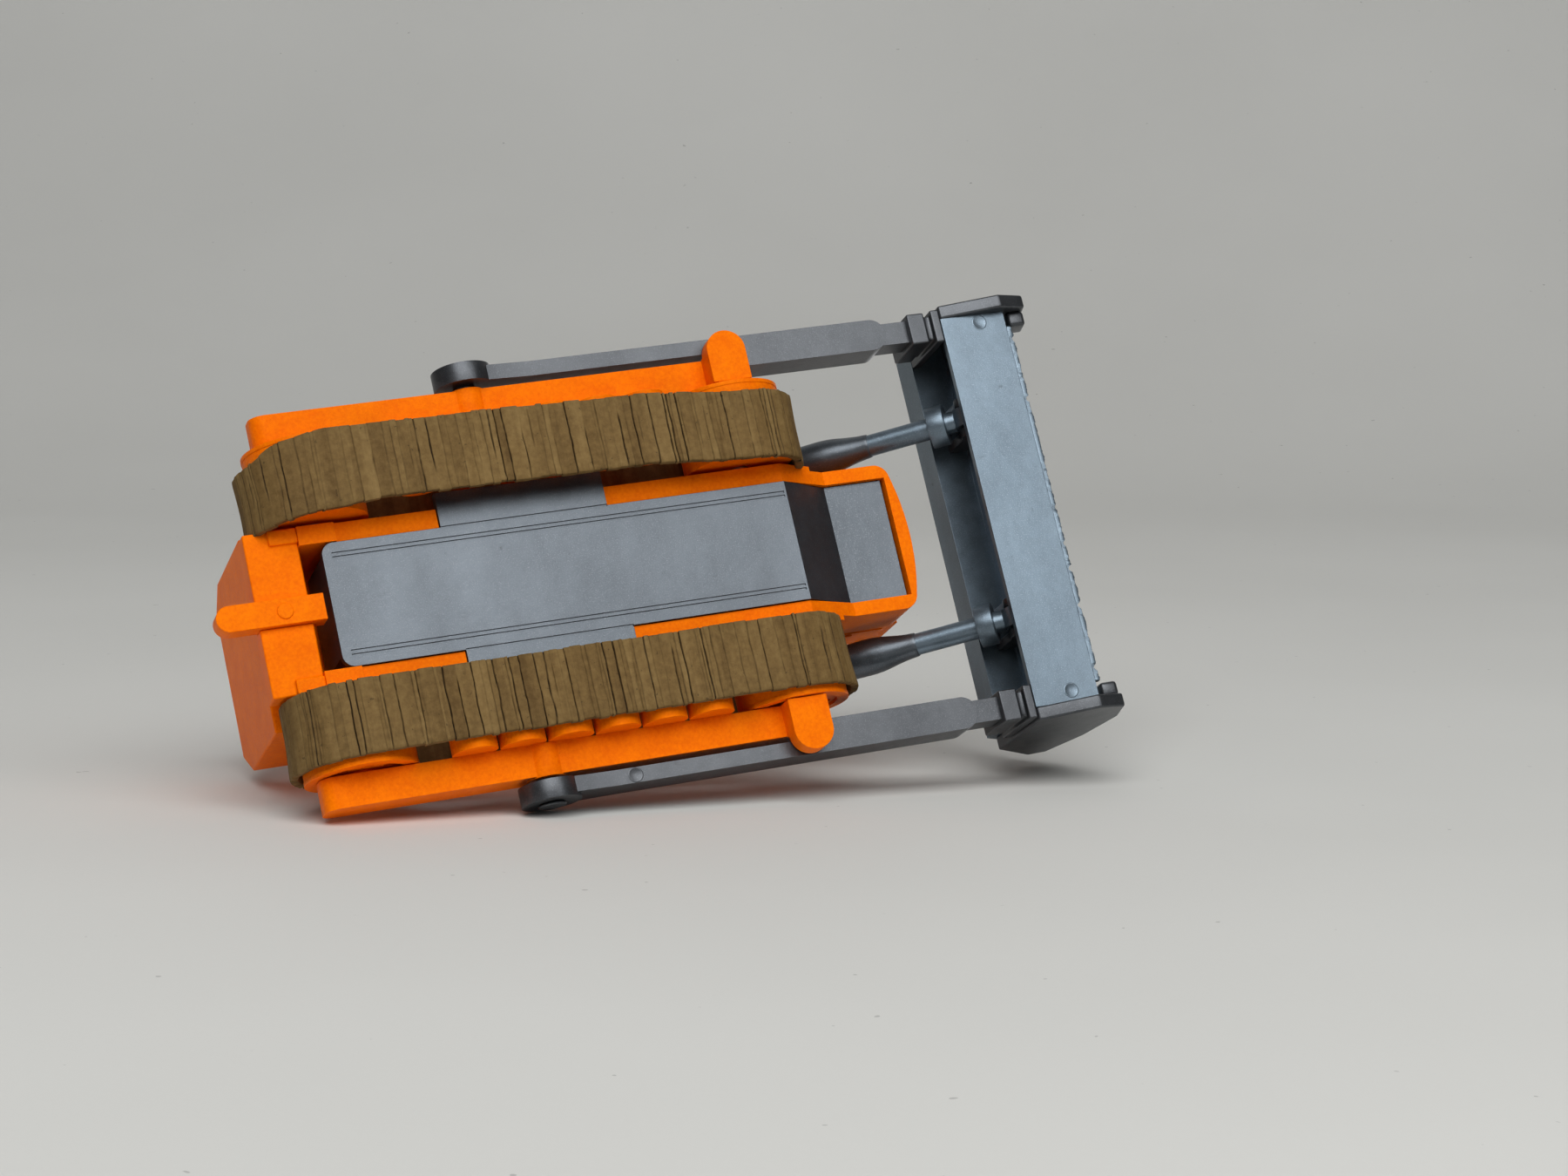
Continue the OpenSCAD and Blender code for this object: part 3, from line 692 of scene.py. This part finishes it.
STRAP_HALF, STRAP_FOOT_Z = 0.45, 18.8
front, top = tank_high.x, tank_high.z
shape = bmesh.new()
for y in (-5.2, 2.6):
    inner, outer = y - STRAP_HALF, y + STRAP_HALF
    slab(shape, (front - PROUD, inner, STRAP_FOOT_Z), (front + PROUD, outer, top - 0.2), 0.07)
    slab(shape, (tank_low.x + 0.4, inner, top - PROUD), (front + 0.1, outer, top + PROUD), 0.07)
finish_piece(shape, "tank_straps", "fuel_tank", (), 34)

# %% Fender tread
TREAD_Z, TREAD_REAR, TREAD_INNER = 13.3, -25.9, 10.2
ROWS, COLUMNS, ROW_STEP, COLUMN_STEP = 4, 19, 0.72, 1.1
RISE = Vector((0, 0, 0.12))
shape = bmesh.new()
for row in range(ROWS):
    for column in range(COLUMNS):
        for side in (1, -1):
            x, y = TREAD_REAR + column * COLUMN_STEP, side * (TREAD_INNER + row * ROW_STEP)
            turn = 1 if (row + column) % 2 else -1
            long, short = Vector((0.34, 0.34 * turn, 0)), Vector((0.1, -0.1 * turn, 0))
            base = Vector((x, y, TREAD_Z - 0.02))
            corners = (long, short, -long, -short)
            low_ring = [shape.verts.new(base + d) for d in corners]
            top_ring = [shape.verts.new(base + d * 0.6 + RISE) for d in corners]
            shape.faces.new(top_ring)
            for k in range(4):
                shape.faces.new((low_ring[k], low_ring[k - 3], top_ring[k - 3], top_ring[k]))
bmesh.ops.recalc_face_normals(shape, faces=shape.faces)
finish_piece(shape, "fender_tread", "operator_deck", (), 20, False)

# %% [markdown]
# ## Rubber belts
#
# Each belt is one closed band round the two wheels. A grid is wrapped round it: one way follows
# the loop, the other goes round the band's section. Cuts of uneven spacing cross the outside,
# each a little wavy and some not reaching the far edge, and the slats between them stand at
# slightly different heights. A value on each vertex says how deep in a cut it lies.
# The rubber's finish paints the cuts nearly black by that value: painted shade.

# %% Belt measures
belt_low, belt_high = box_mm("track_belt_left")
BELT_R = (belt_high.z - belt_low.z) / 2
BELT_T = 0.8
REAR_X, FRONT_X = belt_low.x + BELT_R, belt_high.x - BELT_R
RUN = FRONT_X - REAR_X
LOOP = 2 * RUN + 2 * math.pi * BELT_R
BELT_STEPS = 2400
OUTER_STEPS = 18


def on_loop(s):
    """The place and the outward direction, in X and Z, at a distance s along the outside."""
    s %= LOOP
    if s < RUN:
        return (REAR_X + s, belt_low.z), (0, -1)
    s -= RUN
    half = math.pi * BELT_R
    if s < half:
        out = (math.sin(s / BELT_R), -math.cos(s / BELT_R))
        centre = FRONT_X
    elif s < half + RUN:
        return (FRONT_X - (s - half), belt_high.z), (0, 1)
    else:
        turn = (s - half - RUN) / BELT_R
        out = (-math.sin(turn), math.cos(turn))
        centre = REAR_X
    return (centre + out[0] * BELT_R, belt_low.z + BELT_R + out[1] * BELT_R), out


def belt_cuts(rng):
    """Cuts as (place, depth, half width, wave, reach): most are hairlines and some are deep."""
    cuts, s = [], 0.0
    while s < LOOP - 0.3:
        deep = rng.random() < 0.38
        depth = rng.uniform(0.14, 0.26) if deep else rng.uniform(0.03, 0.09)
        whole = rng.random() < 0.65
        reach = (-0.2, 1.2) if whole else (rng.uniform(-0.2, 0.4), rng.uniform(0.6, 1.2))
        cuts.append((s, depth, rng.uniform(0.045, 0.075), rng.uniform(0, 60), reach))
        s += rng.choice((0.3, 0.45, 0.65, 0.9, 1.2)) * rng.uniform(0.8, 1.2)
    return cuts


def bend(wave, y):
    """How far a cut strays along the belt at a place across it."""
    return 0.09 * noise.noise(Vector((wave, y * 0.5, 0))) + 0.035 * noise.noise(Vector((wave, y * 3, 5)))


# how far each edge of the right belt strays towards the hull, from the rear end to the front end
STRAY_OUT = [(0, 1.2), (0.07, 0.05), (0.15, -0.5), (0.37, -0.35), (0.67, -0.06), (0.89, 0.74), (1, 0.8)]
STRAY_IN = [(0, 0.6), (0.13, 0.17), (0.22, -0.2), (0.37, -0.2), (0.67, -0.05), (0.89, 0.6), (1, 0.65)]


def stray(knots, share):
    """The stray at a share of the belt's length, eased between its knots."""
    for (start, a), (end, b) in zip(knots, knots[1:]):
        if share <= end:
            t = max(0, (share - start) / (end - start))
            return a + (b - a) * t * t * (3 - 2 * t)
    return knots[-1][1]


def make_belt(side, seed, shift, flare):
    rng = Random(seed)
    cuts = belt_cuts(rng)
    level = [rng.uniform(0, 0.06) for _ in cuts]
    frill = [(rng.uniform(-0.07, 0.07), rng.uniform(-0.07, 0.07)) for _ in cuts]
    tint = [min(1, max(0, rng.gauss(0.5, 0.24))) for _ in cuts]
    low, high = box_mm("track_belt_" + side)
    width = high.y - low.y
    sign = 1 if side == "left" else -1
    # the section, round the outside and back: the share of the width, and the depth in millimetres
    outer = [(k / OUTER_STEPS, 0.0) for k in range(OUTER_STEPS + 1)]
    outer[0], outer[-1] = (0.012, 0.02), (0.988, 0.02)
    back = [(1.0, BELT_T - 0.1), (0.98, BELT_T), (0.5, BELT_T), (0.02, BELT_T), (0.0, BELT_T - 0.1)]
    section = [(0.0, 0.09), *outer, (1.0, 0.09), *back]
    bm = bmesh.new()
    groove = bm.verts.layers.float.new("groove")
    slat_tint = bm.verts.layers.float.new("slat")
    bmesh.ops.create_grid(bm, x_segments=BELT_STEPS, y_segments=len(section), size=0.5)
    at = 0
    for v in sorted(bm.verts, key=lambda v: v.co.x):
        s = (v.co.x + 0.5) * LOOP
        across, sunk = section[round((v.co.y + 0.5) * len(section)) % len(section)]
        y = low.y + across * width
        while at + 1 < len(cuts) and cuts[at + 1][0] < s:
            at += 1
        dip = 0.0
        for k in (at - 1, at, at + 1):
            place, depth, half, wave, reach = cuts[k % len(cuts)]
            away = abs((s - place - bend(wave, y) + LOOP / 2) % LOOP - LOOP / 2)
            cover = min(1, max(0, (across - reach[0]) * 6)) * min(1, max(0, (reach[1] - across) * 6))
            beads = 0.75 + 0.5 * noise.noise(Vector((wave, y * 2.2, 9)))
            dip = max(dip, depth * cover * beads * max(0, 1 - (away / half) ** 2))
        slat = at if s > cuts[at][0] + bend(cuts[at][3], y) else at - 1
        (x, z), out = on_loop(s)
        outward = across if sign > 0 else 1 - across
        sink = sunk
        if sunk < 0.5:
            sag = 0.05 * (1 + noise.noise(Vector((s * 0.12, y * 0.1, seed))))
            sink += (level[slat] + dip + sag) * (1 - sunk / BELT_T)
            # how deep in a cut, which the finish turns into painted shade
            v[groove] = min(1, dip * 7)
        edge = min(across, 1 - across)
        if edge < 0.05:
            y += frill[slat][across > 0.5] - 0.25 * dip * (1 if across > 0.5 else -1)
        v[slat_tint] = tint[slat]
        if sign < 0:
            share = (x - low.x) / (high.x - low.x)
            y += stray(STRAY_OUT, share) * (1 - across) + stray(STRAY_IN, share) * across
        x += out[0] * flare * max(0, outward - 0.45) ** 1.3
        v.co = (x - out[0] * sink, y + sign * shift, z - out[1] * sink)
    bmesh.ops.remove_doubles(bm, verts=bm.verts, dist=0.004)
    bmesh.ops.recalc_face_normals(bm, faces=bm.faces)
    return finish_piece(bm, "ribbed_belt_" + side, "track_belt_" + side, ["track_belt_" + side], 50, False)


# the right belt is bent, and the left one sits a little further in
for side, seed, shift, flare in (("left", 11, -0.12, 0.5), ("right", 29, 0, 0.4)):
    belt = make_belt(side, seed, shift, flare)
    print(f"{belt.name}: {len(belt.data.polygons)} faces round a loop of {LOOP:.0f} mm")

# %% [markdown]
# ## Stage
#
# The toy lies on its left side, with the floor close to its left side beam, the eye of its left
# push arm and the blade's left end. The floor's tilt is given, and its distance comes from the
# toy's own outermost point, so nothing pokes through. Behind the toy the floor rises in one long
# curve, as a photographer's paper does.

# %% Floor
DOWN = Vector((-0.1067, 0.9157, 0.3876)).normalized()
SIGHT = Vector((0.3299, -0.2298, 0.9156)).normalized()
away = (SIGHT - SIGHT.dot(DOWN) * DOWN).normalized()
aside = DOWN.cross(away)
solid_pieces = [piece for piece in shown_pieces() if piece.type == "MESH"]
reach = max((piece.matrix_world @ v.co).dot(DOWN) for piece in solid_pieces for v in piece.data.vertices)
centre = (cad_low + cad_high) / 2
foot = centre + (reach - centre.dot(DOWN)) * DOWN
print(f"floor {reach / MM:.2f} mm from the toy's origin")

SWEEP_START, SWEEP_R, SWEEP_TOP, NEAR, HALF_WIDTH = 0.26, 0.30, 0.7, 0.6, 1.4
bm = bmesh.new()
start = bm.verts.new(foot - away * NEAR - aside * HALF_WIDTH)
edges = bmesh.ops.extrude_vert_indiv(bm, verts=[start])
bmesh.ops.translate(bm, verts=edges["verts"], vec=away * (NEAR + SWEEP_START))
turned = bmesh.ops.spin(
    bm, geom=edges["verts"], cent=foot + away * SWEEP_START - aside * HALF_WIDTH - DOWN * SWEEP_R,
    axis=aside, angle=math.radians(82), steps=40, use_duplicate=False,
)
last = [g for g in turned["geom_last"] if isinstance(g, bmesh.types.BMVert)]
top = bmesh.ops.extrude_vert_indiv(bm, verts=last)
bmesh.ops.translate(bm, verts=top["verts"], vec=-DOWN * SWEEP_TOP + away * 0.1)
wide = bmesh.ops.extrude_edge_only(bm, edges=bm.edges[:])
wide_verts = [g for g in wide["geom"] if isinstance(g, bmesh.types.BMVert)]
bmesh.ops.translate(bm, verts=wide_verts, vec=aside * 2 * HALF_WIDTH)
bmesh.ops.recalc_face_normals(bm, faces=bm.faces)
if sum((f.normal * f.calc_area() for f in bm.faces), Vector()).dot(DOWN) > 0:
    bmesh.ops.reverse_faces(bm, faces=bm.faces)
floor_mesh = bpy.data.meshes.new("floor")
bm.to_mesh(floor_mesh)
bm.free()
floor_mesh.shade_smooth()
floor = bpy.data.objects.new("floor", floor_mesh)
bpy.context.scene.collection.objects.link(floor)
floor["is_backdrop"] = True

# %% [markdown]
# ## Floor paper
#
# The paper is plain and pale. Its back lets light and sight through, because some views look at
# the toy from under the floor.

# %% Floor paper
paper = Finish("floor_paper")
fibre = paper.noise(1.3, detail=4, roughness=0.65)
dust = paper.ramp(paper.noise(0.8, detail=1), (0.80, 0.0), (0.82, 1.0))
sheet = paper.mix(paper.noise(0.012, detail=3), (0.60, 0.60, 0.575), (0.68, 0.68, 0.655))
paper.set(
    Base_Color=paper.mix(dust * 0.35, sheet, (0.1, 0.1, 0.1)),
    Roughness=0.75, Normal=paper.bump(fibre, 0.06, 0.35), Specular_IOR_Level=0.25,
)
back_face = paper.node("ShaderNodeNewGeometry", output="Backfacing")
clear = paper.node("ShaderNodeBsdfTransparent")
front = Wire(paper, paper.shader.outputs[0])
see_through = paper.node("ShaderNodeMixShader", {}, {0: back_face, 1: front, 2: clear})
paper.feed(paper.tree.nodes["Material Output"].inputs["Surface"], see_through)
floor_mesh.materials.append(paper.material)

# %% [markdown]
# ## Camera
#
# A long lens near the floor looks a little down at the toy's underside. The camera is set by its
# place, its line of sight and which way is up, so it needs no angles.

# %% Camera
CAMERA_PLACE = Vector((-87.74, 71.82, -266.62)) * MM
CAMERA_UP = Vector((0.1369, -0.948, -0.2872))
SENSOR, FOCAL = 36, 81
eye = bpy.data.cameras.new("camera")
eye.sensor_width, eye.lens = SENSOR, FOCAL
eye.clip_start, eye.clip_end = 0.01, 10
camera = bpy.data.objects.new("camera", eye)
bpy.context.scene.collection.objects.link(camera)
bpy.context.scene.camera = camera
right = SIGHT.cross(CAMERA_UP).normalized()
camera.matrix_world = Matrix.Translation(CAMERA_PLACE) @ Matrix(
    (right, right.cross(SIGHT), -SIGHT)
).transposed().to_4x4()
print(f"camera {(CAMERA_PLACE - centre).length / MM:.0f} mm from the toy")

# %% [markdown]
# ## Light
#
# A broad soft light above and in front makes the pale floor and the soft shadow, and a weak one
# above and behind opens the shadow. A third stands behind the camera, up to its right, just where
# the belly pan mirrors it: that makes the pan and the blade's bottom bright and leaves their other
# faces dark. Two weak ones reach the sides that only the other views show.


# %% Lights
def soft_light(name, direction, distance, size, watts, tint=(1, 1, 1)):
    lamp = bpy.data.lights.new(name, "AREA")
    lamp.shape, lamp.size = "DISK", size
    lamp.energy, lamp.color = watts, tint
    obj = bpy.data.objects.new(name, lamp)
    bpy.context.scene.collection.objects.link(obj)
    direction = Vector(direction).normalized()
    obj.location = centre + direction * distance
    obj.rotation_mode = "QUATERNION"
    obj.rotation_quaternion = direction.to_track_quat("Z", "Y")
    return obj


soft_light("above_front", -DOWN - 0.9 * away, 0.8, 0.7, 5.5)
soft_light("above_back", -DOWN + 0.6 * away, 0.8, 0.7, 0.5)
soft_light("mirrored", (0.36, -0.23, -0.905), 0.75, 0.36, 1.15)
fills = [
    soft_light("under_fill", DOWN * 0.9 - 0.35 * away, 0.7, 0.6, 0.5),
    soft_light("deck_fill", (0.5, -0.3, 1), 0.8, 0.5, 0.9),
]

# the fills stand under and behind the floor, for the views from there: the floor ignores them
for fill in fills:
    for group in ("blocker_collection", "receiver_collection"):
        kept_out = bpy.data.collections.new(fill.name + "_" + group)
        kept_out.objects.link(floor)
        kept_out.collection_objects[0].light_linking.link_state = "EXCLUDE"
        setattr(fill.light_linking, group, kept_out)

world = bpy.data.worlds.new("room")
world.use_nodes = True
bpy.context.scene.world = world
room = world.node_tree
seen = room.nodes.new("ShaderNodeLightPath")
shade = room.nodes.new("ShaderNodeMix")
shade.data_type = "RGBA"
shade.inputs[6].default_value = (0.075, 0.075, 0.075, 1)
shade.inputs[7].default_value = (0.42, 0.42, 0.405, 1)
room.links.new(seen.outputs["Is Camera Ray"], shade.inputs[0])
room.links.new(shade.outputs[2], room.nodes["Background"].inputs["Color"])
bpy.context.scene.view_settings.view_transform = "Standard"

# %% Sizes
low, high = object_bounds()
print("visual box", [round(x / MM, 2) for x in (*low, *high)])
